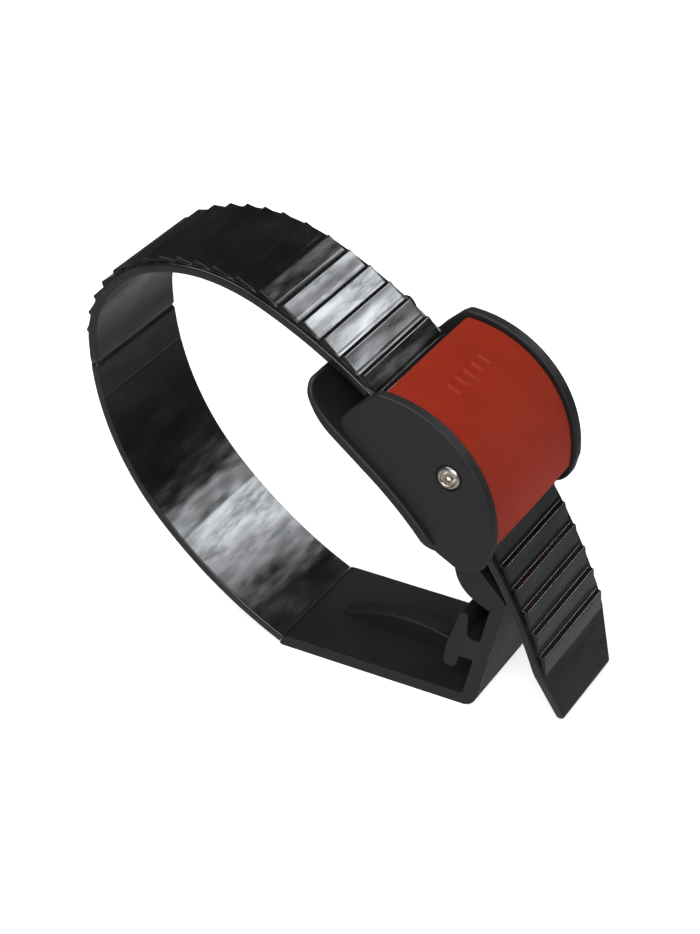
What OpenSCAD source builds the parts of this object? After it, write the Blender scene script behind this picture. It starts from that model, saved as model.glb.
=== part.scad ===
// Ratchet band tourniquet: a toothed plastic band closes round a limb through a buckle.
// A pressed lever lifts the pawl off the teeth and lets the band run back.
// X runs along the limb plate towards the band's tail, +Z is up, Y is the band's width.
// The origin is on the limb plate's underside, near the middle of its length.

/* [Band] */
// Width of the band
band_w = 25; // [20:1:28]
// Thickness of the band at its smooth edges
band_t = 1.6; // [1.4:0.1:1.8]
// Width of the strip left smooth at each side of the teeth
tooth_inset = 1; // [0.6:0.1:2]
// Distance from one tooth to the next, except on the finer teeth of the anchored half
pitch = 4.3; // [4:0.1:4.5]
// Number of teeth
tooth_count = 31; // [22:1:31]
// Height of the tooth tips above the band's inner face
tip_lift = 2.6; // [2.4:0.1:2.8]
// Height of the floor between the teeth above the band's inner face
floor_lift = 1.75; // [1.7:0.05:1.9]

/* [Buckle] */
// Width of the limb plate and of the upright wall
plate_w = 24.8; // [22:0.2:26]
// Thickness of the limb plate
plate_t = 2.2; // [1.8:0.1:2.6]
// Width of the buckle's shell
shell_w = 36.4; // [35.2:0.2:40]
// Thickness of the buckle's shell
shell_t = 1.8; // [1.4:0.1:2.2]
// Distance between the two cheeks
cheek_gap = 30.1; // [29:0.1:31]
// Thickness of each cheek
cheek_t = 2.1; // [2:0.1:2.5]
// Radius of the cheeks' curved edge
cheek_r = 21.4; // [21.2:0.1:21.8]

/* [Lever] */
// Width of the release lever
lever_w = 29.8; // [28:0.1:29.9]
// Radius of the lever's outer face
lever_r = 20.8; // [20.4:0.1:21]
// Thickness of the lever's shell
lever_t = 1.6; // [1.2:0.1:1.7]

/* [Rivet] */
// Radius of the rivet's shank
rivet_r = 1.5; // [1.2:0.05:1.5]
// Radius of the rivet's head
rivet_head_r = 2.1; // [1.9:0.05:2.7]
// Radius of the hole through the rivet
rivet_bore_r = 0.7; // [0.5:0.05:1]

/* [Hidden] */
$fn = 72;

// The band's inner face, from the limb plate round the limb to the tail.
// Each row is one arc: its length and the angle it turns through.
band_start = [-20, 2];
band_heading = 154.5;
band_arcs = [[30, 22], [34.5, 41.5], [20.5, 68], [13.5, 30], [10, 16.5], [78, 47.5], [10, 0]];
band_len = 196.5;
tip_len = 10;
tip_taper = 3;
// Band length where the last tooth's notch starts
last_notch = 182.9;
// Links of the band, the teeth on each, and the gap left before the tooth at a hinge
link_count = 8;
link_teeth = 3;
hinge_gap = 0.6;
// Radii of a link's round nose and of the socket it turns in
nose_r = band_t / 2 - 0.04;
socket_r = band_t / 2 + 0.06;
link_len = link_teeth * pitch;
// Finer teeth on the links past the first one
fine_teeth = 4;
fine_pitch = link_len / fine_teeth;
// The tail's tooth at its hinge behind the buckle, and where that hinge lies
hinge_tooth = 17;
first_hinge = last_notch - hinge_tooth * pitch;
// A tooth: flat floor, then the locking wall, then the ramp to the next floor
tooth_floor = 0.73;
tooth_wall = 0.52;
anchor_gap = 0.3;

pivot = [14.1, 47.8];
lever_c = [1, 38.2];
pivot_play = 0.05;
rivet_play = 0.03;
slide_gap = 0.15;
hub_r = 2.9;
cheek_in = cheek_gap / 2;
cheek_out = cheek_in + cheek_t;
head_sink = 0.5;
head_t = 0.75;

band_black = [0.05, 0.05, 0.06];
frame_black = [0.13, 0.13, 0.14];
lever_red = [0.62, 0.13, 0.09];
bright = [0.80, 0.80, 0.78];

// ---- geometry helpers ----

// Extrudes an X-Z outline along Y, centred, to the width w
module across(w) {
    rotate([90, 0, 0])
        translate([0, 0, -w / 2])
            linear_extrude(w) children();
}

// Extrudes an X-Z outline along Y from y0 to y1
module between(y0, y1) {
    translate([0, (y0 + y1) / 2, 0])
        across(y1 - y0) children();
}

// A straight round bar along Y at an X-Z point
module bar(p, r, w) {
    translate([p[0], 0, p[1]])
        rotate([90, 0, 0])
            cylinder(h = w, r = r, center = true);
}

// Points on an arc about c, from angle a0 to angle a1
function arc(c, r, a0, a1, n = 24) =
    [for (i = [0:n]) c + r * [cos(a0 + (a1 - a0) * i / n), sin(a0 + (a1 - a0) * i / n)]];

// Point and heading at distance s along a chain of arcs that turn clockwise
function walk(arcs, p, h, s, i = 0) =
    let (len_i = arcs[i][0], last = i == len(arcs) - 1)
    let (l = last ? s : min(s, len_i))
    let (turn = arcs[i][1] * l / len_i)
    let (chord = turn == 0 ? l : 2 * l / (turn * PI / 180) * sin(turn / 2))
    let (q = p + chord * [cos(h - turn / 2), sin(h - turn / 2)])
    (last || s <= len_i) ? [q, h - turn] : walk(arcs, q, h - turn, s - len_i, i + 1);

// Point at distance s along the chain, lifted off it to the left of its heading
function lifted(w, lift) = w[0] + lift * [-sin(w[1]), cos(w[1])];
function band_point(s, lift) = lifted(walk(band_arcs, band_start, band_heading, s), lift);

// Outline of a stretch of the band between two lifts
function band_strip(s0, s1, low, high, step = 2.15) =
    let (n = max(1, ceil((s1 - s0) / step)))
    concat(
        [for (i = [0:n]) band_point(s0 + (s1 - s0) * i / n, low)],
        [for (i = [n:-1:0]) band_point(s0 + (s1 - s0) * i / n, high)]);

// ---- band ----

// Band length where tooth k's floor starts, counted back from the tail's last tooth
last_coarse = hinge_tooth + link_teeth;
function notch(k) = last_notch - min(k, last_coarse) * pitch - max(k - last_coarse, 0) * fine_pitch;

// Outline of tooth k, cut off before its floor's start plus the gap
function tooth(k, gap) =
    let (s = notch(k), end = notch(k - 1), low = band_t - 0.3)
    let (floor_end = s + tooth_floor, wall_end = s + tooth_floor + tooth_wall)
    [for (q = [
        [s + gap, low], [s + gap, floor_lift], [floor_end, floor_lift],
        [wall_end, tip_lift], [wall_end + 0.15, tip_lift - 0.02],
        [end, floor_lift], [end, low]]) band_point(q[0], q[1])];

// Teeth first_tooth to last_tooth, with a gap left at the last one's hinge
module teeth(first_tooth, last_tooth) {
    for (k = [first_tooth:last_tooth])
        across(band_w - 2 * tooth_inset)
            polygon(tooth(k, k == last_tooth ? hinge_gap : 0));
}

// The round bar at the band's point s that a link turns about
module hinge_bar(s, r, w) {
    bar(band_point(s, band_t / 2), r, w);
}

// Link i counted back from the buckle: link 1 joins the tail
module band_link(i) {
    s1 = first_hinge - (i - 1) * link_len;
    s0 = s1 - link_len;
    k1 = i == 1 ? hinge_tooth + 1 : last_coarse + (i - 2) * fine_teeth + 1;
    k0 = min(i == 1 ? last_coarse : last_coarse + (i - 1) * fine_teeth, tooth_count - 1);
    color(band_black) {
        difference() {
            union() {
                across(band_w) polygon(band_strip(s0, s1, 0, band_t));
                if (k0 >= k1)
                    teeth(k1, k0);
            }
            hinge_bar(s0, socket_r, band_w + 1);
        }
        hinge_bar(s1, nose_r, band_w);
    }
}

// The fixed end, which is welded to the limb plate
module band_end() {
    s1 = first_hinge - link_count * link_len;
    color(band_black) {
        across(band_w) polygon(band_strip(anchor_gap, s1, 0, band_t));
        hinge_bar(s1, nose_r, band_w);
    }
}

// Places children at the band's point s, their X along the band and Z off it
module on_band(s) {
    w = walk(band_arcs, band_start, band_heading, s);
    translate([w[0][0], 0, w[0][1]])
        rotate([0, -w[1], 0]) children();
}

// The stretch in the buckle and the free tail, with a tapered round tip
module band_tail() {
    tip_s = band_len - tip_len;
    color(band_black) {
        difference() {
            union() {
                across(band_w) polygon(band_strip(first_hinge, tip_s, 0, band_t));
                teeth(0, hinge_tooth);
            }
            hinge_bar(first_hinge, socket_r, band_w + 1);
        }
        on_band(tip_s) {
            linear_extrude(band_t)
                polygon([[-0.5, -band_w / 2], [0, -band_w / 2], [tip_len, tip_taper - band_w / 2],
                    [tip_len, band_w / 2 - tip_taper], [0, band_w / 2], [-0.5, band_w / 2]]);
            translate([tip_len, 0, band_t / 2])
                rotate([90, 0, 0])
                    cylinder(h = band_w - 2 * tip_taper, r = band_t / 2, center = true);
        }
    }
}

// ---- buckle frame ----

// The limb plate and the upright wall, seen from the side
wall_top = [22.8, 22.8];

module plate_outline() {
    toe = [15.3, 2.7];
    polygon(concat(
        [[-20.8, 0.4], [-20.4, 0]],
        arc(toe, 2.7, -90, -15, 8),
        [wall_top, [20.2, 22], [15.3, plate_t + 0.4], [14.9, plate_t], [-20, plate_t]]));
}

// The hooked rail on the wall's inner side: a stem and a curved head
module rail_outline() {
    polygon(concat(
        [[18.4, 9.8], [14.5, 9.8]],
        arc([12.85, 8.4], 1.25, -20, -190, 8),
        [[11.9, 11], [13.2, 14.9], [14.4, 18.2]],
        arc([15.2, 18.2], 0.85, 150, -10, 6),
        [[15.9, 16]],
        arc([17, 15], 1.1, 190, 270, 6),
        [[19.6, 13.9]]));
}

// The buckle's curved shell: the arcs of its outer face, from the lip to the wall
shell_start = [-11.9, 59];
shell_heading = -85;
shell_arcs = [[10.5, -46], [9, 0], [13, 11], [5.5, 14], [4, 14], [6.5, -53], [3, 0]];
shell_len = 51.5;
shell_step = 1.5;
// Where the shell starts to narrow, and where the fillet to the wall starts
shell_taper = 33;
shell_fillet = 34.5;
fillet_top = [22.5, 23.4];

function shell_point(s, lift) = lifted(walk(shell_arcs, shell_start, shell_heading, s), lift);
function shell_line(s0, s1, lift) =
    let (n = ceil(abs(s1 - s0) / shell_step))
    [for (i = [0:n]) shell_point(s0 + (s1 - s0) * i / n, lift)];

module shell_outline() {
    polygon(concat(
        shell_line(0, shell_len, 0),
        [wall_top, fillet_top],
        shell_line(shell_fillet, 0, shell_t)));
}

// The full-width part of the shell, which stops short of the wall
module wide_shell_outline() {
    polygon(concat(
        shell_line(0, 41, 0),
        [shell_point(shell_fillet, shell_t) + 0.5 * (fillet_top - shell_point(shell_fillet, shell_t))],
        shell_line(shell_fillet, 0, shell_t)));
}

// The raised bed that the band slides on inside the buckle
module bed_outline() {
    s0 = 131;
    s1 = 164;
    n = 16;
    polygon(concat(
        [for (i = [0:n]) band_point(s0 + (s1 - s0) * i / n, -slide_gap)],
        shell_line(38, 14, 1)));
}

// One cheek, a lens shape that the rivet passes through
module cheek_outline() {
    polygon(concat(
        arc(lever_c, cheek_r, 90, -4, 40),
        arc([17.2, 35.2], 4.6, -10, -115, 12),
        shell_line(36, 13, 0.9),
        arc([-3.4, 52.5], 2.4, -150, -236, 10),
        [[-1.9, 57.1]]));
}

module cheek(side) {
    y0 = side < 0 ? -cheek_out : cheek_in;
    between(y0, y0 + cheek_t) cheek_outline();
}

// Low arched rib along the middle of the limb plate
module plate_rib() {
    rise = 3.3;
    half = 13.6;
    r = (half * half + rise * rise) / (2 * rise);
    a = asin(half / r);
    between(-1.7, 1.7)
        translate([-0.8, plate_t])
            polygon(concat([[half, -1], [-half, -1]],
                arc([0, rise - r], r, 90 + a, 90 - a, 24)));
}

// Cuts the shell's lower corners in to the width of the wall
module corner_cut(side) {
    w = walk(shell_arcs, shell_start, shell_heading, shell_taper);
    inner = plate_w / 2;
    outer = shell_w / 2;
    translate([w[0][0], 0, w[0][1]])
        rotate([0, -w[1], 0])
            translate([0, 0, -6])
                linear_extrude(12)
                    polygon([[0, side * outer], [8, side * inner], [20, side * inner],
                        [20, side * 30], [0, side * 30]]);
}

module wide_shell() {
    difference() {
        across(shell_w) wide_shell_outline();
        for (side = [-1, 1])
            corner_cut(side);
    }
}

module buckle_frame() {
    color(frame_black) difference() {
        union() {
            across(plate_w) plate_outline();
            across(plate_w) rail_outline();
            across(plate_w) shell_outline();
            wide_shell();
            across(cheek_gap + 1) bed_outline();
            for (side = [-1, 1])
                cheek(side);
            plate_rib();
        }
        // clearance for the band as it slides
        across(band_w + 1)
            polygon(band_strip(122, 174, -slide_gap, 5));
        bar(pivot, rivet_r + rivet_play, shell_w + 2);
        for (side = [-1, 1])
            translate([pivot[0], side * (cheek_out + 5 - head_sink), pivot[1]])
                rotate([90, 0, 0])
                    cylinder(h = 10, r = rivet_head_r + 0.35, center = true);
    }
}

// ---- release lever ----

module lever_outline() {
    a0 = 88;
    a1 = -8;
    tip_r = lever_t / 2;
    mid = lever_r - tip_r;
    polygon(concat(
        arc(lever_c, lever_r, a0, a1, 40),
        arc(lever_c + mid * [cos(a1), sin(a1)], tip_r, a1, a1 - 180, 8),
        arc(lever_c, lever_r - lever_t, a1, a0, 40),
        arc(lever_c + mid * [cos(a0), sin(a0)], tip_r, a0 + 180, a0, 8)));
}

// Web between the lever's shell and its hub
module lever_web_outline() {
    u = (pivot - lever_c) / norm(pivot - lever_c);
    v = [u[1], -u[0]];
    polygon([pivot - 2.4 * v, pivot + 2.4 * v,
        lever_c + (lever_r - 0.8) * (u * cos(11) + v * sin(11)),
        lever_c + (lever_r - 0.8) * (u * cos(11) - v * sin(11))]);
}

// Where the lever's hub stops, leaving room for the spring beside it
hub_end = 11.9;

module release_lever() {
    color(lever_red) difference() {
        union() {
            across(lever_w) lever_outline();
            between(-lever_w / 2, hub_end) lever_web_outline();
            translate([pivot[0], (hub_end - lever_w / 2) / 2, pivot[1]])
                rotate([90, 0, 0])
                    cylinder(h = hub_end + lever_w / 2, r = hub_r, center = true);
            pawl_clip();
        }
        bar(pivot, rivet_r + pivot_play, lever_w + 2);
    }
}

// Two ribs that hold the pawl's root under the lever's shell
module pawl_clip() {
    for (y = [-pawl_w / 2 - 1.3, pawl_w / 2 + 0.1])
        between(y, y + 1.2)
            polygon(concat(
                arc(lever_c, lever_r - lever_t + 0.4, 30, 10, 8),
                arc(lever_c, lever_r - lever_t - 1.6, 10, 30, 8)));
}

// ---- pawl ----

pawl_w = 22;
pawl_gap = 0.08;
pawl_leaf = 1.3;
// Band length where the notch that the pawl's tooth sits in starts
pawl_notch = last_notch - 6 * pitch;

// A leaf held under the lever's shell, ending in a tooth that fills the notch
module lever_pawl() {
    out = lever_r - lever_t - 0.05;
    n = pawl_notch;
    wall_end = n + tooth_floor + tooth_wall;
    color(frame_black) across(pawl_w)
        polygon(concat(
            arc(lever_c, out, 23, 16, 6),
            arc(lever_c, out - 0.35, 15, -1, 12),
            [for (q = [
                [wall_end + 0.2, tip_lift + 0.7],
                [wall_end - pawl_gap, tip_lift + 0.1],
                [n + tooth_floor - pawl_gap, floor_lift + pawl_gap],
                [n - 0.3, floor_lift + pawl_gap + 0.06],
                [n - 2.4, tip_lift],
                [n - 2.4, tip_lift + 1]]) band_point(q[0], q[1])],
            arc(lever_c, out - pawl_leaf, 10, 23, 8)));
}

// ---- return spring ----

spring_wire = 0.3;
spring_r = 2.15;
spring_y0 = 14.5;
spring_pitch = 0.68;
spring_sides = 8;
// Angles where the coil starts, beside the bed, and ends, under the lever's press end
spring_a0 = 254;
spring_a1 = 1138;
bed_leg = 9;
lever_leg = 13.4;

// Wire centre at angle a along the coil, moved d along the wire
function wire_point(a, d) =
    let (y = spring_y0 - spring_pitch * (a - spring_a0) / 360)
    [pivot[0] + spring_r * cos(a) - d * sin(a), y, pivot[1] + spring_r * sin(a) + d * cos(a)];

// Each row is the wire's centre and the angle at which its ring of points stands
function spring_path() =
    let (n = 60, step = (spring_a1 - spring_a0) / n)
    concat(
        [[wire_point(spring_a0, -bed_leg), spring_a0]],
        [for (i = [0:n]) [wire_point(spring_a0 + step * i, 0), spring_a0 + step * i]],
        [[wire_point(spring_a1, lever_leg), spring_a1]]);

module return_spring() {
    path = spring_path();
    n = len(path);
    m = spring_sides;
    pts = [for (p = path) for (j = [0:m - 1])
        let (a = 360 * j / m)
        p[0] + spring_wire * [cos(a) * cos(p[1]), sin(a), cos(a) * sin(p[1])]];
    walls = [for (i = [0:n - 2]) for (j = [0:m - 1])
        let (k = (j + 1) % m)
        [i * m + j, (i + 1) * m + j, (i + 1) * m + k, i * m + k]];
    ends = [[for (j = [0:m - 1]) j], [for (j = [m - 1:-1:0]) (n - 1) * m + j]];
    color(bright)
        polyhedron(points = pts, faces = concat(walls, ends), convexity = 6);
}

// ---- rivet ----

// Half outline of the rivet about its own axis: shank, dished head and rolled end
module pivot_rivet() {
    y_head = cheek_out - head_sink;
    color(bright)
        translate([pivot[0], 0, pivot[1]])
            rotate([90, 0, 0])
                rotate_extrude()
                    polygon([[rivet_bore_r, -y_head], [rivet_bore_r, y_head + 0.25],
                        [rivet_bore_r + 0.35, y_head + head_t], [rivet_head_r - 0.5, y_head + head_t],
                        [rivet_head_r, y_head + 0.3], [rivet_head_r, y_head],
                        [rivet_r, y_head], [rivet_r, -y_head],
                        [rivet_head_r - 0.2, -y_head], [rivet_head_r - 0.2, -y_head - 0.3],
                        [rivet_head_r - 0.7, -y_head - head_t], [rivet_bore_r + 0.3, -y_head - head_t]]);
}

buckle_frame();
release_lever();
lever_pawl();
return_spring();
pivot_rivet();
band_tail();
band_link(1);  // band_link_1
band_link(2);  // band_link_2
band_link(3);  // band_link_3
band_link(4);  // band_link_4
band_link(5);  // band_link_5
band_link(6);  // band_link_6
band_link(7);  // band_link_7
band_link(8);  // band_link_8
band_end();
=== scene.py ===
"""Looks for the ratchet band tourniquet, in metres. Shapes are in millimetres and scaled once."""
import math
import bmesh
import bpy
import numpy as np
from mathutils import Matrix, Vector


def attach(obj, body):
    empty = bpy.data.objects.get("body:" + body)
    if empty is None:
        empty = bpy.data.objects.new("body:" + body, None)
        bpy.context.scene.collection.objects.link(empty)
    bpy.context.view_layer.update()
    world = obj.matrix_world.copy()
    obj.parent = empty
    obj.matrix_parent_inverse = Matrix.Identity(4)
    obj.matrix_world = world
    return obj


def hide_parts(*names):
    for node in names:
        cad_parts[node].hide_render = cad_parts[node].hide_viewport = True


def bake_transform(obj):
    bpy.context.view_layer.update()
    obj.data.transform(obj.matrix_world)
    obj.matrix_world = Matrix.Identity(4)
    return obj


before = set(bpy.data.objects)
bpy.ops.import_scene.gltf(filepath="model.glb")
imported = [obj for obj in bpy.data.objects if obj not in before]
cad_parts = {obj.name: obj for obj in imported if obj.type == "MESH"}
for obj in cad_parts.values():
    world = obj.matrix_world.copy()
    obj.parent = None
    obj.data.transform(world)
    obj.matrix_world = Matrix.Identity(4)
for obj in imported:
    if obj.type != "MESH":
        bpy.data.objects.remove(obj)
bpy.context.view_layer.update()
MM = 0.001

# ---------------------------------------------------------------- sizes, as in the CAD model (mm)
BAND_START, BAND_HEADING = (-20.0, 2.0), 154.5
BAND_ARCS = [(30, 22), (34.5, 41.5), (20.5, 68), (13.5, 30), (10, 16.5), (78, 47.5), (10, 0)]
BAND_LEN, TIP_LEN, TIP_TAPER, BAND_W, BAND_T = 196.5, 10.0, 3.0, 25.0, 1.6
LAST_NOTCH, PITCH, FINE_PITCH, LAST_COARSE, TEETH = 182.9, 4.3, 3.225, 20, 31
TOOTH_FLOOR, TOOTH_WALL, FLOOR_LIFT, TIP_LIFT, INSET = 0.73, 0.52, 1.75, 2.6, 1.0
FIRST_HINGE, LINK_LEN, LINKS = 109.8, 12.9, 8
SHELL_START, SHELL_HEADING = (-11.9, 59.0), -85.0
SHELL_ARCS = [(10.5, -46), (9, 0), (13, 11), (5.5, 14), (4, 14), (6.5, -53), (3, 0)]
SHELL_T, SHELL_W, PLATE_W = 1.8, 36.4, 24.8
PIVOT, LEVER_C, LEVER_R, LEVER_T, LEVER_W = (14.1, 47.8), (1.0, 38.2), 20.8, 1.6, 29.8
LEVER_FROM, LEVER_TO = -8, 88
CHEEK_IN, CHEEK_OUT, CHEEK_R = 15.05, 17.15, 21.4
HUB_R, HUB_FROM, HUB_TO = 2.9, -14.9, 11.9
SPRING_R, SPRING_Y, SPRING_PITCH, WIRE_R = 2.15, 14.5, 0.68, 0.3
SPRING_FROM, SPRING_TO, SHORT_LEG, LONG_LEG = 254.0, 1138.0, 9.0, 13.4

# ---------------------------------------------------------------- sizes chosen for the looks (mm)
BED_W, RIB_W, RIB_RISE, RIB_HALF = 31.2, 3.4, 3.3, 13.6
RIVET_HOLE_R, RIVET_SEAT_R, HUB_BORE_R = 1.53, 2.45, 1.55
# Teeth are counted from 0 at the tail. Beyond tooth LONG_RAMPS a ramp runs down to the next wall, and
# is hollow by DISH down to DISH_END of its length.
LONG_RAMPS, DISH, DISH_END = 12, 0.045, 0.8
WALL_FOOT = ((-0.08, 0), (0.02, 0.05), (0.1, 0.17))
TIP_ROUND = ((-0.12, 0.21), (-0.03, 0.08), (0.08, 0.025), (0.24, 0.065))
TOOTH_ROUND, BAND_ROUND, BEND_REACH = 0.12, 0.3, 5.0
# A crease goes across the band's inner face and notches its edges: (along, depth, narrower by)
CREASE_AT = 60.6
CREASE = ((-0.8, 0, 0), (-0.45, 0.05, 0.03), (-0.2, 0.22, 0.12), (0, 0.32, 0.18), (0.2, 0.22, 0.12),
          (0.45, 0.05, 0.03), (0.8, 0, 0))
# Two shallow grooves go across the inner face: (along, part of the depth)
GROOVES_AT, GROOVE_DEPTH = (24.5, 54.0), 0.05
GROOVE = ((-0.22, 0), (-0.1, 0.7), (0.0, 1.0), (0.1, 0.7), (0.22, 0))
LIP_T, LIP_RUN, LIP_CORNER, LIP_ROUND = 0.9, 9, 3.0, 0.96
LEVER_CROWN = 0.22
GRIP_BARS, GRIP_AT, GRIP_LEN, GRIP_W, GRIP_RISE, GRIP_PITCH = 5, 66.5, 3.2, 1.5, 0.3, 2.8


# ---------------------------------------------------------------- plane geometry
def walk(arcs, start, heading, s):
    """Point and heading at distance s along arcs that turn clockwise, in the X-Z plane."""
    x, z = start
    for i, (length, turn) in enumerate(arcs):
        part = s if i == len(arcs) - 1 else min(s, length)
        t = turn * part / length
        chord = part if t == 0 else 2 * part / math.radians(t) * math.sin(math.radians(t / 2))
        x += chord * math.cos(math.radians(heading - t / 2))
        z += chord * math.sin(math.radians(heading - t / 2))
        heading -= t
        s -= part
        if s <= 1e-9:
            break
    return x, z, heading


def lifted(arcs, start, heading, s, lift):
    x, z, h = walk(arcs, start, heading, s)
    return x - lift * math.sin(math.radians(h)), z + lift * math.cos(math.radians(h))


def band_point(s, lift):
    return lifted(BAND_ARCS, BAND_START, BAND_HEADING, s, lift)


def shell_point(s, lift):
    return lifted(SHELL_ARCS, SHELL_START, SHELL_HEADING, s, lift)


def shell_line(s0, s1, lift, step=0.75):
    n = math.ceil(abs(s1 - s0) / step)
    return [shell_point(s0 + (s1 - s0) * i / n, lift) for i in range(n + 1)]


def arc(c, r, a0, a1, n):
    return [(c[0] + r * math.cos(math.radians(a0 + (a1 - a0) * i / n)),
             c[1] + r * math.sin(math.radians(a0 + (a1 - a0) * i / n))) for i in range(n + 1)]


# ---------------------------------------------------------------- mesh helpers
def corner_normals(mesh):
    """Normals weighted by face area, so flat faces stay flat and the small bevels carry the turn."""
    normals = np.zeros((len(mesh.vertices), 3))
    for p in mesh.polygons:
        for v in p.vertices:
            normals[v] += np.array(p.normal) * p.area
    normals /= np.maximum(np.linalg.norm(normals, axis=1, keepdims=True), 1e-12)
    return normals


def smooth(mesh, normals=None):
    if normals is None:
        normals = corner_normals(mesh)
    mesh.polygons.foreach_set("use_smooth", [True] * len(mesh.polygons))
    mesh.normals_split_custom_set_from_vertices(normals.tolist())


def make(name, verts, faces, look, normals=None):
    """One object from vertices in mm."""
    mesh = bpy.data.meshes.new(name)
    mesh.from_pydata([tuple(c * MM for c in v) for v in verts], [], faces)
    mesh.update()
    smooth(mesh, normals)
    mesh.materials.append(look)
    obj = bpy.data.objects.new(name, mesh)
    bpy.context.scene.collection.objects.link(obj)
    return obj


def join(name, solids, look):
    """One object from several bmesh solids in mm."""
    verts, faces = [], []
    for bm in solids:
        base = len(verts)
        bm.verts.index_update()
        verts += [tuple(v.co) for v in bm.verts]
        faces += [[base + v.index for v in f.verts] for f in bm.faces]
        bm.free()
    return make(name, verts, faces, look)


def prism(outline, y0, y1, bevel, segments=3, seam=-1e3, sharp=26.0):
    """A plate with the X-Z outline, from y0 to y1. Edges that turn by more than sharp degrees are
    rounded, except those that run across it at an x below seam."""
    area = sum(a[0] * b[1] - b[0] * a[1] for a, b in zip(outline, outline[1:] + outline[:1]))
    if area > 0:
        outline = outline[::-1]
    bm = bmesh.new()
    near = [bm.verts.new((x, y0, z)) for x, z in outline]
    far = [bm.verts.new((x, y1, z)) for x, z in outline]
    bm.faces.new(near[::-1])
    bm.faces.new(far)
    for i in range(len(outline)):
        j = (i + 1) % len(outline)
        bm.faces.new((near[i], near[j], far[j], far[i]))
    bmesh.ops.recalc_face_normals(bm, faces=bm.faces)

    def at_seam(edge):
        a, b = (v.co for v in edge.verts)
        return max(a.x, b.x) < seam and abs(a.y - b.y) > 1

    edges = [e for e in bm.edges if math.degrees(e.calc_face_angle(0)) > sharp and not at_seam(e)]
    bmesh.ops.bevel(bm, geom=edges, offset=bevel, segments=segments, profile=0.5, affect="EDGES",
                    clamp_overlap=True)
    return bm


def lathe(profile, centre, sides=64):
    """A solid turned about Y: profile is a closed list of (radius, y)."""
    bm = bmesh.new()
    turns = [2 * math.pi * k / sides for k in range(sides)]
    rings = [[bm.verts.new((centre[0] + r * math.cos(t), y, centre[1] + r * math.sin(t))) for t in turns]
             for r, y in profile]
    for a, b in zip(rings, rings[1:] + rings[:1]):
        for k in range(sides):
            j = (k + 1) % sides
            bm.faces.new((a[k], a[j], b[j], b[k]))
    bmesh.ops.remove_doubles(bm, verts=bm.verts, dist=1e-5)
    bmesh.ops.recalc_face_normals(bm, faces=bm.faces)
    return bm


def tube_faces(rings, sides):
    """Faces of a tube of rings that have the same number of points, with a cap at each end."""
    faces = []
    for i in range(rings - 1):
        a, b = i * sides, (i + 1) * sides
        for j in range(sides):
            k = (j + 1) % sides
            faces.append((a + j, a + k, b + k, b + j))
    last = (rings - 1) * sides
    return faces + [tuple(range(sides))[::-1], tuple(range(last, last + sides))]


def tube(verts, rings):
    """A tube of rings, as a bmesh solid."""
    bm = bmesh.new()
    points = [bm.verts.new(v) for v in verts]
    for face in tube_faces(rings, len(verts) // rings):
        bm.faces.new([points[i] for i in face])
    bmesh.ops.recalc_face_normals(bm, faces=bm.faces)
    return bm


def sweep(rows, section, place):
    """Points of one ring for each row: section gives (y, lift) round the ring, place puts them in space."""
    return [place(row[0], y, lift) for row in rows for y, lift in section(row)]


def whole_ring(right, half, low):
    """A ring from its right half, which starts on the lower face and ends in the middle of the upper."""
    left = [(-y, lift) for y, lift in reversed(right[:-1])]
    return right + left + [(-half * 0.5, low), (0, low), (half * 0.5, low)]


# ---------------------------------------------------------------- materials
MIX_A, MIX_B, MIX_OUT = 6, 7, 2     # a Mix node's sockets for colours


def material(name, base, rough, metallic=0.0, specular=0.5):
    m = bpy.data.materials.new(name)
    m.use_nodes = True
    b = m.node_tree.nodes["Principled BSDF"]
    b.inputs["Base Color"].default_value = (*base, 1)
    b.inputs["Roughness"].default_value = rough
    b.inputs["Metallic"].default_value = metallic
    b.inputs["Specular IOR Level"].default_value = specular
    return m, m.node_tree, b


def add(tree, kind, **values):
    node = tree.nodes.new(kind)
    for k, v in values.items():
        if k in node.inputs:
            node.inputs[k].default_value = v
        else:
            setattr(node, k, v)
    return node


def noise(tree, scale, detail=4.0, rough=0.5, stretch=(1, 1, 1)):
    """Noise in the piece's own coordinates; scale is in features a metre."""
    coord = add(tree, "ShaderNodeTexCoord")
    mapping = add(tree, "ShaderNodeMapping", Scale=stretch)
    tree.links.new(coord.outputs["Object"], mapping.inputs["Vector"])
    tex = add(tree, "ShaderNodeTexNoise", Scale=scale, Detail=detail, Roughness=rough)
    tree.links.new(mapping.outputs["Vector"], tex.inputs["Vector"])
    return tex.outputs["Fac"]


def ramp(tree, source, p0, v0, p1, v1):
    """v0 while source is below p0, v1 above p1, and a straight line between them."""
    r = add(tree, "ShaderNodeMapRange")
    r.inputs["From Min"].default_value, r.inputs["From Max"].default_value = p0, p1
    r.inputs["To Min"].default_value, r.inputs["To Max"].default_value = v0, v1
    tree.links.new(source, r.inputs["Value"])
    return r.outputs["Result"]


def multiply(tree, a, b, plus=0.0):
    """a times b, plus something more; a is a socket, and the others are sockets or numbers."""
    node = add(tree, "ShaderNodeMath", operation="MULTIPLY_ADD")
    tree.links.new(a, node.inputs[0])
    if isinstance(b, bpy.types.NodeSocket):
        tree.links.new(b, node.inputs[1])
    else:
        node.inputs[1].default_value = b
    if isinstance(plus, bpy.types.NodeSocket):
        tree.links.new(plus, node.inputs[2])
    else:
        node.inputs[2].default_value = plus
    return node.outputs["Value"]


def tint(tree, source, a, b):
    """Colour a where source is 0 and b where it is 1; a is a colour or a socket."""
    mix = add(tree, "ShaderNodeMix", data_type="RGBA")
    if isinstance(a, bpy.types.NodeSocket):
        tree.links.new(a, mix.inputs[MIX_A])
    else:
        mix.inputs[MIX_A].default_value = (*a, 1)
    mix.inputs[MIX_B].default_value = (*b, 1)
    tree.links.new(source, mix.inputs["Factor"])
    return mix.outputs[MIX_OUT]


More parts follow.
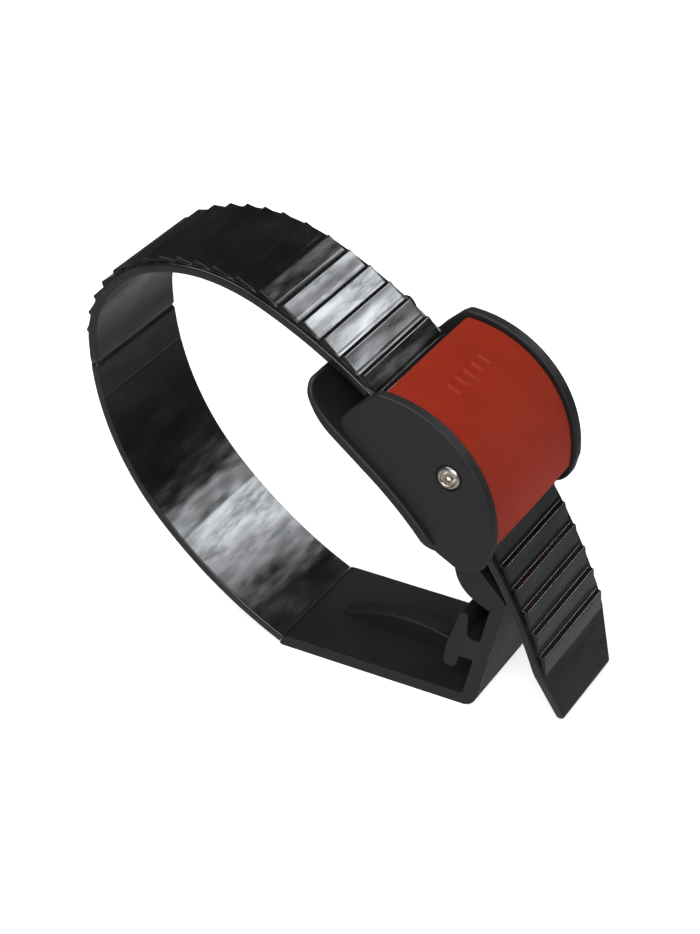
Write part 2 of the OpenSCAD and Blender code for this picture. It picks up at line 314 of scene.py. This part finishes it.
def mottle(tree, bsdf, source, span, a, b):
    """The colour goes from a to b while source goes over span."""
    shade = ramp(tree, source, span[0], 0, span[1], 1)
    tree.links.new(tint(tree, shade, a, b), bsdf.inputs["Base Color"])


def bumps(tree, bsdf, layers):
    """Chained bumps: each layer is (height socket, depth in m)."""
    last = None
    for height, depth in layers:
        b = add(tree, "ShaderNodeBump", Strength=1.0, Distance=depth)
        tree.links.new(height, b.inputs["Height"])
        if last:
            tree.links.new(last, b.inputs["Normal"])
        last = b.outputs["Normal"]
    tree.links.new(last, bsdf.inputs["Normal"])


def wear_edges(tree, bsdf, colour, rougher):
    """Along outer edges, in patches, the plastic goes over to a paler colour and is rougher or smoother."""
    edge = add(tree, "ShaderNodeNewGeometry").outputs["Pointiness"]
    patches = noise(tree, 800, detail=3, rough=0.6)
    worn = multiply(tree, ramp(tree, edge, 0.51, 0, 0.6, 1), ramp(tree, patches, 0.35, 0.15, 0.65, 1))
    base = bsdf.inputs["Base Color"].links[0].from_socket
    rough = bsdf.inputs["Roughness"].links[0].from_socket
    tree.links.new(tint(tree, worn, base, colour), bsdf.inputs["Base Color"])
    tree.links.new(multiply(tree, worn, rougher, rough), bsdf.inputs["Roughness"])


def band_material():
    m, t, b = material("band_gloss_black", (0.008, 0.008, 0.009), 0.2)
    soft = noise(t, 260, detail=1, rough=0.4, stretch=(1, 0.35, 1))
    scuff = noise(t, 1300, detail=4, rough=0.6, stretch=(1, 0.2, 1))
    fine = noise(t, 5200, detail=2, rough=0.5)
    t.links.new(ramp(t, multiply(t, soft, scuff), 0.14, 0.12, 0.42, 0.29), b.inputs["Roughness"])
    mottle(t, b, soft, (0.35, 0.7), (0.005, 0.005, 0.0055), (0.009, 0.009, 0.0095))
    wear_edges(t, b, (0.018, 0.018, 0.019), 0.08)
    bumps(t, b, [(soft, 0.00015), (scuff, 0.000005), (fine, 0.0000005)])
    return m


def frame_material(name="frame_matte_black", base=(0.0095, 0.0095, 0.0098)):
    m, t, b = material(name, base, 0.55, specular=0.4)
    cloud = noise(t, 90, detail=4, rough=0.6)
    grain = noise(t, 4200, detail=3, rough=0.6)
    t.links.new(ramp(t, cloud, 0.3, 0.5, 0.7, 0.62), b.inputs["Roughness"])
    mottle(t, b, cloud, (0.3, 0.7), [0.86 * c for c in base], [1.14 * c for c in base])
    wear_edges(t, b, [1.4 * c for c in base], -0.08)
    bumps(t, b, [(cloud, 0.00005), (grain, 0.000012)])
    return m


def lever_material():
    m, t, b = material("lever_red_plastic", (0.33, 0.022, 0.009), 0.7, specular=0.15)
    cloud = noise(t, 70, detail=4, rough=0.55)
    grain = noise(t, 3600, detail=3, rough=0.6)
    t.links.new(ramp(t, cloud, 0.3, 0.62, 0.7, 0.78), b.inputs["Roughness"])
    mottle(t, b, cloud, (0.3, 0.72), (0.255, 0.0165, 0.005), (0.315, 0.0245, 0.0075))
    wear_edges(t, b, (0.35, 0.035, 0.013), -0.15)
    bumps(t, b, [(cloud, 0.00006), (grain, 0.00001)])
    return m


def metal_material(name, base, rough):
    m, t, b = material(name, base, rough, metallic=1.0)
    wear = noise(t, 2600, detail=5, rough=0.6)
    t.links.new(ramp(t, wear, 0.3, rough * 0.7, 0.7, rough * 1.5), b.inputs["Roughness"])
    mottle(t, b, wear, (0.35, 0.7), [0.8 * c for c in base], base)
    bumps(t, b, [(wear, 0.0000015)])
    return m


BAND = band_material()
FRAME = frame_material()
PAWL = frame_material("pawl_matte_black", (0.012, 0.012, 0.0125))
LEVER = lever_material()
NICKEL = metal_material("rivet_nickel", (0.60, 0.55, 0.49), 0.26)
SPRING = metal_material("spring_wire", (0.55, 0.55, 0.56), 0.25)


# ---------------------------------------------------------------- band
def notch(k):
    """Where tooth k begins along the band."""
    return LAST_NOTCH - min(k, LAST_COARSE) * PITCH - max(k - LAST_COARSE, 0) * FINE_PITCH


def band_side(s):
    """The band's half width, less where the tip tapers."""
    return BAND_W / 2 - TIP_TAPER * max(0.0, s - (BAND_LEN - TIP_LEN)) / TIP_LEN


def plain_rows(teeth_from):
    """Stations from the plate to where the teeth begin, with the crease and the grooves."""
    half = BAND_W / 2
    rows = [(0.12, 0.0, BAND_T, half, False), (0.19, 0.0, BAND_T, half, False)]
    s = 0.5
    while s < teeth_from - 1.2:
        rows.append((s, 0.0, BAND_T, half, False))
        s += 1.5
    rows = [r for r in rows if abs(r[0] - CREASE_AT) > 0.9]
    rows += [(CREASE_AT + ds, depth, BAND_T, half - narrower, False) for ds, depth, narrower in CREASE]
    rows += [(line + ds, part * GROOVE_DEPTH, BAND_T, half, False)
             for line in GROOVES_AT for ds, part in GROOVE]
    rows.sort()
    rows = rows[:1] + [b for a, b in zip(rows, rows[1:]) if b[0] - a[0] > 0.05]
    return rows + [(teeth_from - 0.25, 0.0, BAND_T, half, False)]


def tooth_rows(k):
    """Stations over tooth k: its floor, wall, rounded tip and ramp."""
    start, end = notch(k), notch(k - 1)
    wall = start + TOOTH_FLOOR
    tip = wall + TOOTH_WALL
    drop = TIP_LIFT - FLOOR_LIFT
    lifts = []
    if k == TEETH - 1 or k < LONG_RAMPS:
        lifts.append((start + 0.06, FLOOR_LIFT))
    lifts += [(wall + ds, FLOOR_LIFT + rise) for ds, rise in WALL_FOOT]
    lifts += [(tip + ds, TIP_LIFT - fall) for ds, fall in TIP_ROUND]
    if k > LONG_RAMPS:
        run = end + TOOTH_FLOOR - tip
        for f in (0.14, 0.27, 0.4, 0.53, 0.66, 0.77, 0.8, 0.83):
            hollow = DISH * math.sin(math.pi * f / DISH_END) if f < DISH_END else 0
            lifts.append((tip + f * run, TIP_LIFT - drop * f - hollow))
    else:
        lifts += [(tip + 0.5 * (end - tip), TIP_LIFT - 0.52 * drop), (end - 0.12, FLOOR_LIFT + 0.035)]
    return [(s, 0.0, lift, band_side(s), True) for s, lift in lifts]


def tip_rows():
    """Stations past tooth 0, to the tip's rounded end."""
    ramp_end = LAST_NOTCH + PITCH
    rows = [(ramp_end - 0.02, 0.0, FLOOR_LIFT - 0.02, band_side(ramp_end), True)]
    rows.append((ramp_end + 0.12, 0.0, BAND_T + 0.02, band_side(ramp_end + 0.12), False))
    for ds in (0.6, 2.0, 4.0, 6.0, 8.0, BAND_LEN - ramp_end):
        rows.append((ramp_end + ds, 0.0, BAND_T, band_side(ramp_end + ds), False))
    mid = BAND_T / 2
    for a in (15, 30, 45, 60, 75, 88):
        c, d = math.cos(math.radians(a)), math.sin(math.radians(a))
        half = BAND_W / 2 - TIP_TAPER - 0.35 * d * d
        rows.append((BAND_LEN + mid * d, mid - mid * c, mid + mid * c, half, False))
    return rows


def band_profile():
    """Stations along the band: (s, lowest lift, highest lift, half width, is it a tooth)."""
    rows = plain_rows(notch(TEETH - 1))
    for k in reversed(range(TEETH)):
        rows += tooth_rows(k)
    return rows + tip_rows()


def band_section(row):
    """One ring round the band: inner face, rounded edge, and the ledge beside a tooth that is set in."""
    _, low, high, half, tooth = row
    edge_top = BAND_T if tooth else high
    r = min(BAND_ROUND, 0.45 * (edge_top - low))
    inset = half - INSET
    right = arc((half - r, low + r), r, -90, 0, 3) + arc((half - r, edge_top - r), r, 0, 90, 3)
    if tooth:
        b, side = TOOTH_ROUND, inset - 0.03
        right += [(inset + 0.06, edge_top), (inset, edge_top + 0.05), (side, high - b),
                  (side - 0.3 * b, high - 0.3 * b), (side - b, high)]
    else:
        right += [(inset + 0.06 - 0.05 * i, high) for i in range(5)]
    return whole_ring(right + [(inset - 0.6, high), (inset * 0.5, high), (0, high)], half, low)


def band_place(s, y, lift):
    x, z = band_point(s, lift)
    return (x, y, z)


def tube_normals(verts, rings):
    mesh = bpy.data.meshes.new("whole")
    mesh.from_pydata(verts, [], tube_faces(rings, len(verts) // rings))
    mesh.update()
    normals = corner_normals(mesh)
    bpy.data.meshes.remove(mesh)
    return normals


def nearest(rows, s):
    return min(range(len(rows)), key=lambda i: abs(rows[i][0] - s))


def build_band():
    """The whole band gives the normals. It is cut at mid-link into pieces."""
    rows = band_profile()
    verts = sweep(rows, band_section, band_place)
    normals = tube_normals(verts, len(rows))
    ring = len(verts) // len(rows)
    cuts = sorted(nearest(rows, FIRST_HINGE - LINK_LEN * (i + 0.5)) for i in range(LINKS))
    bodies = ["band_tail"] + [f"band_link_{i + 1}" for i in range(LINKS)] + ["band_end"]
    made = []
    for p, (first, last) in enumerate(zip([0] + cuts, cuts + [len(rows) - 1])):
        joint = LINKS - p
        part = slice(first * ring, (last + 1) * ring)
        faces = tube_faces(last - first + 1, ring)
        piece = make(f"band_piece_{joint + 1}", verts[part], faces, BAND, normals[part])
        hinge = FIRST_HINGE - joint * LINK_LEN
        reach = min(BEND_REACH, rows[last][0] - hinge)
        if joint < LINKS:
            reach = min(reach, hinge - rows[first][0])
        a, b = band_point(hinge + reach, BAND_T / 2), band_point(hinge - reach, BAND_T / 2)
        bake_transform(piece)
        made.append((joint, piece))
    for joint, piece in made:
        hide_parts(bodies[joint], bodies[joint + 1])


build_band()


# ---------------------------------------------------------------- buckle frame
def spine_outline():
    """Limb plate, upright wall, hooked rail and the root of the shell in one outline."""
    lower = [(-20.8, 0.4), (-20.4, 0.0)] + arc((15.3, 2.7), 2.7, -90, -15, 12) + \
        [(22.8, 22.8), (22.5, 23.4)]
    shell_top = [shell_point(34.5, SHELL_T)] + shell_line(33.75, 31, SHELL_T)
    shell_bottom = shell_line(31, 51.2, 0.0)
    wall = [(20.1, 21.4), (18.45, 14.5), (18.2, 14.05), (17.8, 13.9)]
    hook = arc((17, 15), 1.1, 270, 190, 8) + [(15.95, 16.0)] + arc((15.2, 18.2), 0.85, -10, 150, 10)
    rail = hook + [(13.2, 14.9), (11.9, 11.0)] + arc((12.85, 8.4), 1.25, 170, 340, 14) + \
        [(14.35, 9.3), (14.7, 9.8)]
    inner = [(16.9, 9.8), (17.1, 9.6), (15.5, 3.0), (15.3, 2.6), (14.9, 2.2), (-18.9, 2.2), (-19.95, 2.06)]
    return lower + shell_top + shell_bottom + wall + rail + inner


def shell_half_width(s):
    """The shell narrows smoothly to the plate's width over 8 mm."""
    t = min(max((s - 33) / 8, 0), 1)
    t = t * t * (3 - 2 * t)
    return SHELL_W / 2 + (PLATE_W / 2 - SHELL_W / 2) * t


def shell_thickness(s):
    """The shell thins towards its lip."""
    return LIP_T + (SHELL_T - LIP_T) * min(s / LIP_RUN, 1)


def shell_section(row):
    _, low, high, half = row
    r = min(0.5, 0.48 * (high - low))
    right = arc((half - r, low + r), r, -90, 0, 3) + arc((half - r, high - r), r, 0, 90, 3)
    return whole_ring(right + [(half * 0.5, high), (0, high)], half, low)


def shell_place(s, y, lift):
    x, z = shell_point(s, lift)
    return (x, y, z)


def shell_strip():
    """The curved shell, with a rounded lip that has rounded corners."""
    rows = []
    for s in (0.02, 0.08, 0.2, 0.4, 0.7, 1.1, 1.6, 2.2, 2.9, 3.6):
        thin = shell_thickness(s)
        r = thin / 2
        pull = LIP_ROUND * (r - math.sqrt(r * r - (r - min(s, r)) ** 2))
        cut = LIP_CORNER - math.sqrt(LIP_CORNER ** 2 - (LIP_CORNER - min(s, LIP_CORNER)) ** 2)
        rows.append((s, pull, thin - pull, SHELL_W / 2 - cut))
    s = 4.4
    while s < 41.0:
        rows.append((s, 0.0, shell_thickness(s), shell_half_width(s)))
        s += 0.8
    return tube(sweep(rows, shell_section, shell_place), len(rows))


def cheek_outline():
    return arc(LEVER_C, CHEEK_R, 90, -4, 56) + arc((17.2, 35.2), 4.6, -10, -115, 18) + \
        shell_line(36, 13, 0.9) + arc((-3.4, 52.5), 2.4, -150, -236, 12) + \
        [(-3.6, 55.8), (-1.9, 57.35), (-0.4, 58.7)]


def bed_outline():
    """The raised bed between the shell and the band."""
    return [band_point(131 + 33 * i / 16, -0.15) for i in range(17)] + shell_line(38, 14, 1.0)


def rib_outline():
    """The low arched rib on the plate."""
    r = (RIB_HALF * RIB_HALF + RIB_RISE * RIB_RISE) / (2 * RIB_RISE)
    a = math.degrees(math.asin(RIB_HALF / r))
    top = [(x - 0.8, z + 2.2) for x, z in arc((0, RIB_RISE - r), r, 90 + a, 90 - a, 40)]
    return [(12.8, 1.4), (-14.4, 1.4)] + top


def drill(obj, p, r, y0, y1):
    """Cuts a round recess along Y out of obj, from y0 to y1."""
    bm = bmesh.new()
    bmesh.ops.create_cone(bm, cap_ends=True, segments=64, radius1=r, radius2=r, depth=abs(y1 - y0))
    mesh = bpy.data.meshes.new("cutter")
    bm.to_mesh(mesh)
    bm.free()
    cutter = bpy.data.objects.new("cutter", mesh)
    bpy.context.scene.collection.objects.link(cutter)
    cutter.scale = (MM, MM, MM)
    cutter.rotation_euler = (math.pi / 2, 0, 0)
    cutter.location = (p[0] * MM, (y0 + y1) / 2 * MM, p[1] * MM)
    mod = obj.modifiers.new("cut", "BOOLEAN")
    mod.operation, mod.solver, mod.object = "DIFFERENCE", "EXACT", cutter
    bpy.context.view_layer.update()
    cut = bpy.data.meshes.new_from_object(obj.evaluated_get(bpy.context.evaluated_depsgraph_get()))
    obj.modifiers.clear()
    old, obj.data = obj.data, cut
    bpy.data.meshes.remove(old)
    bpy.data.objects.remove(cutter)
    bpy.data.meshes.remove(mesh)
    smooth(cut)


def build_frame():
    body = join("buckle_body", [
        prism(spine_outline(), -PLATE_W / 2, PLATE_W / 2, 0.3, seam=-19.5),
        shell_strip(),
        prism(bed_outline(), -BED_W / 2, BED_W / 2, 0.15, 2),
        prism(rib_outline(), -RIB_W / 2, RIB_W / 2, 0.45),
    ], FRAME)
    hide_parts("buckle_frame")
    made = [body]
    for side, name in ((-1, "cheek_near"), (1, "cheek_far")):
        y0, y1 = sorted((side * CHEEK_IN, side * CHEEK_OUT))
        cheek = join(name, [prism(cheek_outline(), y0, y1, 0.4, 4)], FRAME)
        drill(cheek, PIVOT, RIVET_HOLE_R, side * (CHEEK_IN - 1), side * (CHEEK_OUT + 1))
        drill(cheek, PIVOT, RIVET_SEAT_R, side * (CHEEK_OUT - 0.5), side * (CHEEK_OUT + 2))
        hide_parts("buckle_frame")
        made.append(cheek)
    for obj in made:
        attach(obj, "frame")


build_frame()


# ---------------------------------------------------------------- release lever
def lever_place(a, y, lift):
    """A point at angle a round the lever's curve, which has a slight crown across it."""
    low_r = LEVER_R - LEVER_T
    crown = LEVER_CROWN * (1 - (y / (LEVER_W / 2)) ** 2) - LEVER_CROWN
    r = low_r + lift + crown * (lift / LEVER_T)
    return (LEVER_C[0] + r * math.cos(math.radians(a)), y, LEVER_C[1] + r * math.sin(math.radians(a)))


def lever_section(row):
    _, low, high, half = row
    r0, r1 = min(0.25, 0.48 * (high - low)), min(0.6, 0.48 * (high - low))
    right = arc((half - r0, low + r0), r0, -90, 0, 2) + arc((half - r1, high - r1), r1, 0, 90, 5)
    right += [(half * f, high) for f in (0.92, 0.8, 0.6, 0.4, 0.2, 0.0)]
    return whole_ring(right, half, low)


def lever_shell():
    """The lever's curved shell, with rounded ends."""
    half, mid, n = LEVER_W / 2, LEVER_T / 2, 60
    step = math.degrees(mid / LEVER_R)

    def end_row(at, away, a):
        c, d = math.cos(math.radians(a)), math.sin(math.radians(a))
        return (at + away * step * d, mid - mid * c, mid + mid * c, half - 0.5 * d ** 2)

    ends = (86, 68, 50, 32, 15)
    rows = [end_row(LEVER_FROM, -1, a) for a in ends]
    rows += [(LEVER_FROM + (LEVER_TO - LEVER_FROM) * i / n, 0.0, LEVER_T, half) for i in range(n + 1)]
    rows += [end_row(LEVER_TO, 1, a) for a in reversed(ends)]
    return tube(sweep(rows, lever_section, lever_place), len(rows))


def grip_bar(y_mid):
    """A short raised bar on the lever, running round its curve and sunk into it a little."""
    span = math.degrees(GRIP_LEN / LEVER_R)
    steps = [-1 + 2 * i / 8 for i in range(9)]
    verts = []
    for t in steps:
        taper = math.sqrt(1 - t ** 4) * 0.9 + 0.1
        ring = [(u, LEVER_T + GRIP_RISE * taper * (1 - u ** 4) - 0.02) for u in steps]
        ring += [(u, LEVER_T - 0.3) for u in (1, -1)]
        at = GRIP_AT + t * span / 2
        verts += [lever_place(at, y_mid + u * GRIP_W / 2 * taper, lift) for u, lift in ring]
    return tube(verts, len(steps))


def web_outline():
    """The web from the hub out to the shell: 4.8 mm wide at the hub, 22 degrees of the shell's curve."""
    ux, uz = PIVOT[0] - LEVER_C[0], PIVOT[1] - LEVER_C[1]
    d = math.hypot(ux, uz)
    ux, uz = ux / d, uz / d
    vx, vz = uz, -ux
    r, c, s = LEVER_R - 0.8, math.cos(math.radians(11)), math.sin(math.radians(11))
    return [(PIVOT[0] - 2.4 * vx, PIVOT[1] - 2.4 * vz), (PIVOT[0] + 2.4 * vx, PIVOT[1] + 2.4 * vz),
            (LEVER_C[0] + r * (ux * c + vx * s), LEVER_C[1] + r * (uz * c + vz * s)),
            (LEVER_C[0] + r * (ux * c - vx * s), LEVER_C[1] + r * (uz * c - vz * s))]


def pawl_clip(y):
    """A rib under the shell that holds the pawl."""
    inner = LEVER_R - LEVER_T
    outline = arc(LEVER_C, inner + 0.4, 30, 10, 10) + arc(LEVER_C, inner - 1.6, 10, 30, 10)
    return prism(outline, y, y + 1.2, 0.12, 2)


def hub():
    edge = HUB_R - 0.15
    return lathe([(HUB_BORE_R, HUB_FROM), (edge, HUB_FROM), (HUB_R, HUB_FROM + 0.15),
                  (HUB_R, HUB_TO - 0.15), (edge, HUB_TO), (HUB_BORE_R, HUB_TO)], PIVOT)


def build_lever():
    web = join("lever_web", [prism(web_outline(), HUB_FROM + 0.05, HUB_TO - 0.05, 0.1, 1)], LEVER)
    drill(web, PIVOT, 2.0, -16, 13)
    clips = [pawl_clip(y) for y in (-12.3, 11.1)]
    first = -GRIP_PITCH * (GRIP_BARS - 1) / 2
    bars = [grip_bar(first + GRIP_PITCH * i) for i in range(GRIP_BARS)]
    shell = join("lever_shell", [lever_shell(), hub()] + clips + bars, LEVER)
    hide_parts("release_lever")
    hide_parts("release_lever")
    for obj in (shell, web):
        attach(obj, "lever")


build_lever()


# ---------------------------------------------------------------- rivet, spring, pawl
def build_rivet():
    """A rolled rim on each side of the buckle, closed in the middle as a cup."""
    base, top = CHEEK_OUT - 0.5, CHEEK_OUT + 0.25
    rim = [(base, 1.95), (base + 0.05, 2.05), (base + 0.15, 2.1), (base + 0.3, 2.09), (base + 0.48, 2.0),
           (base + 0.63, 1.86), (top - 0.03, 1.72), (top, 1.6), (top - 0.05, 1.45), (top - 0.2, 1.33)]
    cup = [(top - 0.6, 1.28), (top - 1.0, 1.22), (top - 1.3, 1.08), (top - 1.48, 0.82), (top - 1.56, 0.5),
           (top - 1.6, 0.2), (top - 1.6, 0)]
    side = [(r, y) for y, r in rim + cup]
    profile = side + [(r, -y) for r, y in reversed(side)] + [(1.5, -base), (1.5, base)]
    rivet = join("rivet_tube", [lathe(profile, PIVOT, 80)], NICKEL)
    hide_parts("pivot_rivet")
    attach(rivet, "frame")


def build_spring():
    """A coil round the hub, with a short leg on the frame and a longer one at its other end."""
    def wire(a, out):
        """The wire's centre at angle a, moved along the tangent by out, and the outward direction."""
        c, s = math.cos(math.radians(a)), math.sin(math.radians(a))
        y = SPRING_Y - SPRING_PITCH * (a - SPRING_FROM) / 360
        return (PIVOT[0] + SPRING_R * c - out * s, y, PIVOT[1] + SPRING_R * s + out * c), (c, s)

    steps, legs, sides = 120, 10, 14
    path = [wire(SPRING_FROM, -SHORT_LEG), wire(SPRING_FROM, -4.0)]
    path += [wire(SPRING_FROM + (SPRING_TO - SPRING_FROM) * i / steps, 0) for i in range(steps + 1)]
    path += [wire(SPRING_TO, LONG_LEG * i / legs) for i in range(1, legs + 1)]
    around = [(WIRE_R * math.cos(2 * math.pi * k / sides), WIRE_R * math.sin(2 * math.pi * k / sides))
              for k in range(sides)]
    verts = [(p[0] + c * u[0], p[1] + s, p[2] + c * u[1]) for p, u in path for c, s in around]
    spring = join("return_spring_wire", [tube(verts, len(path))], SPRING)
    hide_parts("return_spring")
    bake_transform(spring)


def paint_pawl():
    """The pawl keeps its CAD shape and gets a material."""
    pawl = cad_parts["lever_pawl"]
    pawl.data.materials.clear()
    pawl.data.materials.append(PAWL)


build_rivet()
build_spring()
paint_pawl()

# ---------------------------------------------------------------- stage, light and camera
TARGET = Vector((-0.012, 0, 0.035))     # the middle of the part, which the lights face
CAMERA_AT, CAMERA_TURN, CAMERA_RISE = (0.17087, -0.33354, 0.26991), 28.916, 31.943


def direction(az, el):
    """From the part towards azimuth az (0 is -Y, 90 is +X) and elevation el."""
    a, e = math.radians(az), math.radians(el)
    return Vector((math.sin(a) * math.cos(e), -math.cos(a) * math.cos(e), math.sin(e)))


def face_target(obj, az, el, dist):
    """Puts obj at a distance from the target, with its underside (-Z) facing it."""
    back = direction(az, el)
    obj.location = TARGET + back * dist
    obj.rotation_mode = "QUATERNION"
    obj.rotation_quaternion = back.to_track_quat("Z", "Y")


def stage_object(name, bm, look):
    mesh = bpy.data.meshes.new(name)
    bm.to_mesh(mesh)
    bm.free()
    mesh.materials.append(look)
    obj = bpy.data.objects.new(name, mesh)
    bpy.context.scene.collection.objects.link(obj)
    return obj


def glowing(name, base, rough, specular, colour, strength):
    m, t, b = material(name, base, rough, specular=specular)
    b.inputs["Emission Color"].default_value = (*colour, 1)
    b.inputs["Emission Strength"].default_value = strength
    return m, t, b


def build_stage():
    """A pale floor, and a pale sphere round everything that only the camera sees."""
    bm = bmesh.new()
    bmesh.ops.create_grid(bm, x_segments=1, y_segments=1, size=3.0)
    pale, _, _ = glowing("floor_pale", (0.8, 0.8, 0.8), 0.9, 0.1, (1, 1, 1), 0.72)
    floor = stage_object("floor", bm, pale)
    floor.location.z = -0.00005
    floor.visible_glossy = False
    bm = bmesh.new()
    bmesh.ops.create_uvsphere(bm, u_segments=48, v_segments=24, radius=2.9)
    white, _, _ = glowing("backdrop_pale", (0, 0, 0), 1, 0, (1, 1, 1), 1.0)
    backdrop = stage_object("backdrop", bm, white)
    backdrop.visible_diffuse = backdrop.visible_glossy = backdrop.visible_shadow = False


def area(name, az, el, dist, size, power):
    """A square soft box."""
    data = bpy.data.lights.new(name, "AREA")
    data.size, data.energy = size, power
    obj = bpy.data.objects.new(name, data)
    face_target(obj, az, el, dist)
    bpy.context.scene.collection.objects.link(obj)


def card(name, az, el, dist, half_w, half_h, strength):
    """A glowing card, brightest in the middle, seen only in reflections."""
    m, t, b = glowing(name, (0, 0, 0), 1, 0, (0.93, 0.965, 1.0), 0)
    coord = add(t, "ShaderNodeTexCoord")
    glow = add(t, "ShaderNodeTexGradient", gradient_type="SPHERICAL")
    t.links.new(coord.outputs["Object"], glow.inputs["Vector"])
    t.links.new(ramp(t, glow.outputs["Fac"], 0, 0, 1, strength), b.inputs["Emission Strength"])
    bm = bmesh.new()
    bmesh.ops.create_grid(bm, x_segments=2, y_segments=2, size=1.0)
    obj = stage_object(name, bm, m)
    face_target(obj, az, el, dist)
    obj.scale = (half_w, half_h, 1)
    obj.visible_camera = obj.visible_diffuse = obj.visible_shadow = False


def build_world():
    """A dim even glow, with more from below that is strongest from the front."""
    world = bpy.data.worlds.new("studio")
    bpy.context.scene.world = world
    world.use_nodes = True
    tree = world.node_tree
    bg = tree.nodes["Background"]
    bg.inputs["Color"].default_value = (0.95, 0.975, 1.0, 1)
    coord = add(tree, "ShaderNodeTexCoord")
    axes = add(tree, "ShaderNodeSeparateXYZ")
    tree.links.new(coord.outputs["Generated"], axes.inputs[0])
    below = ramp(tree, axes.outputs["Z"], -0.6, 1.0, 0.0, 0.0)
    front = ramp(tree, axes.outputs["Y"], -0.4, 0.55, 0.5, 0.43)
    tree.links.new(multiply(tree, below, front, 0.07), bg.inputs["Strength"])


def build_camera():
    data = bpy.data.cameras.new("camera")
    data.sensor_width, data.lens = 36.0, 100.2
    data.clip_start, data.clip_end = 0.01, 20.0
    cam = bpy.data.objects.new("camera", data)
    bpy.context.scene.collection.objects.link(cam)
    cam.location = CAMERA_AT
    cam.rotation_mode = "QUATERNION"
    cam.rotation_quaternion = (-direction(CAMERA_TURN, CAMERA_RISE)).to_track_quat("-Z", "Y")
    bpy.context.scene.camera = cam


build_stage()
build_world()
card("back_card_plane", az=150.5, el=30.4, dist=1.0, half_w=0.27, half_h=0.12, strength=20)
area("front_box", az=22, el=36, dist=1.2, size=0.9, power=12.8)
area("top_box", az=-95, el=72, dist=1.0, size=0.6, power=6)
build_camera()
bpy.context.scene.view_settings.view_transform = "Standard"
